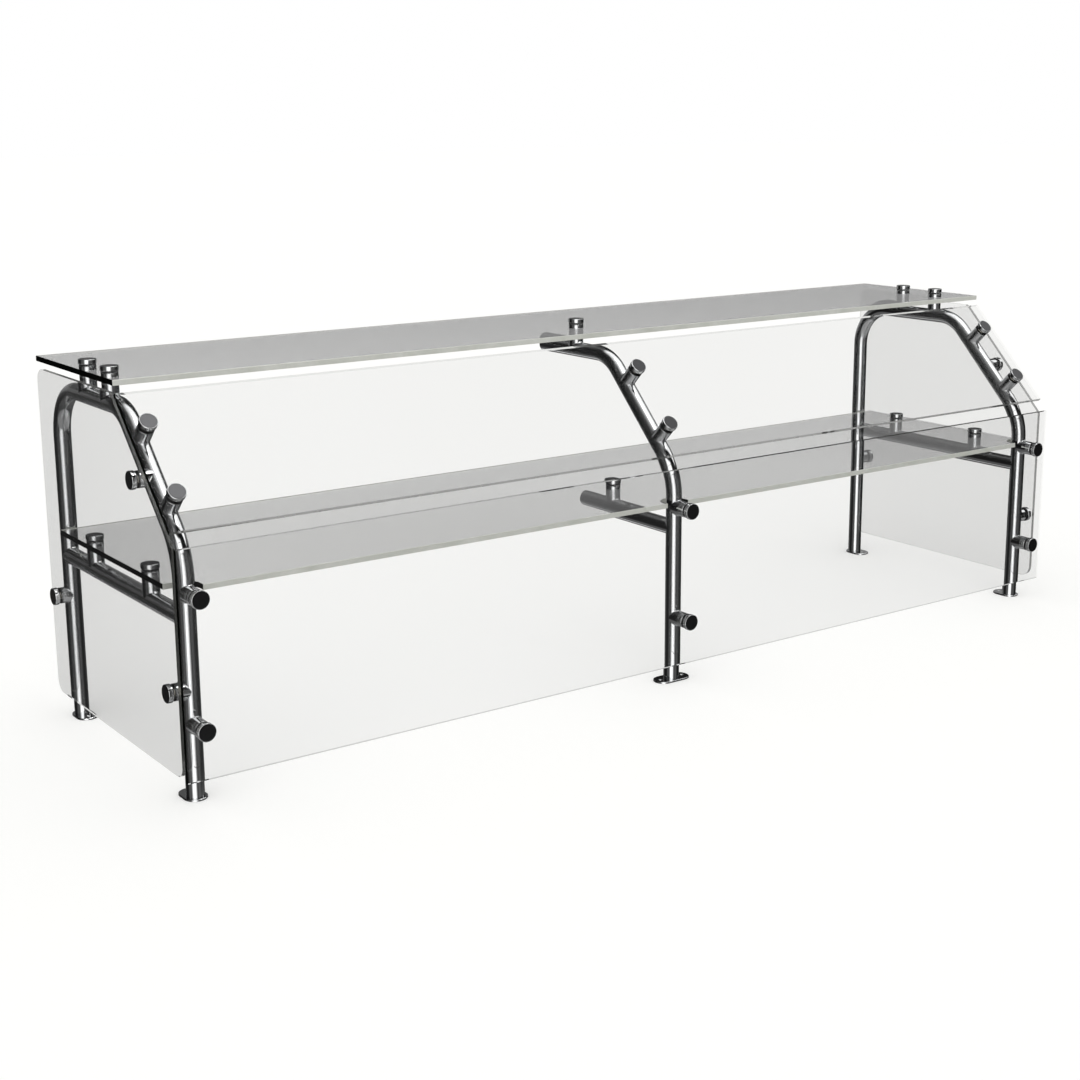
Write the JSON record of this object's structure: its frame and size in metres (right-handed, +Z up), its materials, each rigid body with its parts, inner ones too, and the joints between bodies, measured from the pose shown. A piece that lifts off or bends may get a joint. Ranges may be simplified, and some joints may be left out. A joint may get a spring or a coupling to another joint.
{
  "type": "sneeze guard",
  "caption": "Countertop food guard: bent polished tube frames carry clear glass front panes, an inclined pane, end panes and shelves on round standoffs.",
  "frame": {"origin": "foot of the centre post on the counter, midway between the two screw holes of its flange", "axes": "+X along the counter, +Y from the customer side to the serving side, +Z up"},
  "size_m": [1.7294, 0.4847, 0.5627],
  "materials": {
    "tube_steel": "mirror-polished stainless steel tube",
    "standoff_steel": "turned and polished stainless steel bar",
    "stud_steel": "rolled thread, bright",
    "gasket_rubber": "matt black, die cut",
    "sleeve_nylon": "natural white nylon",
    "pane_glass": "clear toughened glass, polished edges",
    "shelf_glass": "clear toughened glass, polished edges"
  },
  "bodies": {
    "root": {"left_end_frame": "tube_steel", "right_end_frame": "tube_steel", "centre_frame": "tube_steel", "left_shelf_rail": "tube_steel", "right_shelf_rail": "tube_steel", "centre_shelf_arm": "tube_steel", "top_arm_plug": "tube_steel", "shelf_arm_plug": "tube_steel", "front_left_foot": "tube_steel", "front_right_foot": "tube_steel", "rear_left_foot": "tube_steel", "rear_right_foot": "tube_steel", "centre_foot": "tube_steel", "lower_front_glass": "pane_glass", "upper_front_glass": "pane_glass", "top_shelf_glass": "shelf_glass", "middle_shelf_glass": "shelf_glass", "left_end_glass": "pane_glass", "right_end_glass": "pane_glass", "lower_front_barrels": "standoff_steel", "lower_front_studs": "stud_steel", "lower_front_gaskets": "gasket_rubber", "lower_front_sleeves": "sleeve_nylon", "lower_front_caps": "standoff_steel", "upper_front_barrels": "standoff_steel", "upper_front_studs": "stud_steel", "upper_front_gaskets": "gasket_rubber", "upper_front_sleeves": "sleeve_nylon", "upper_front_caps": "standoff_steel", "top_shelf_barrels": "standoff_steel", "top_shelf_studs": "stud_steel", "top_shelf_gaskets": "gasket_rubber", "top_shelf_sleeves": "sleeve_nylon", "top_shelf_caps": "standoff_steel", "middle_shelf_barrels": "standoff_steel", "middle_shelf_studs": "stud_steel", "middle_shelf_gaskets": "gasket_rubber", "middle_shelf_sleeves": "sleeve_nylon", "middle_shelf_caps": "standoff_steel", "left_end_barrels": "standoff_steel", "left_end_studs": "stud_steel", "left_end_gaskets": "gasket_rubber", "left_end_sleeves": "sleeve_nylon", "left_end_caps": "standoff_steel", "right_end_barrels": "standoff_steel", "right_end_studs": "stud_steel", "right_end_gaskets": "gasket_rubber", "right_end_sleeves": "sleeve_nylon", "right_end_caps": "standoff_steel"}
  },
  "joints": []
}
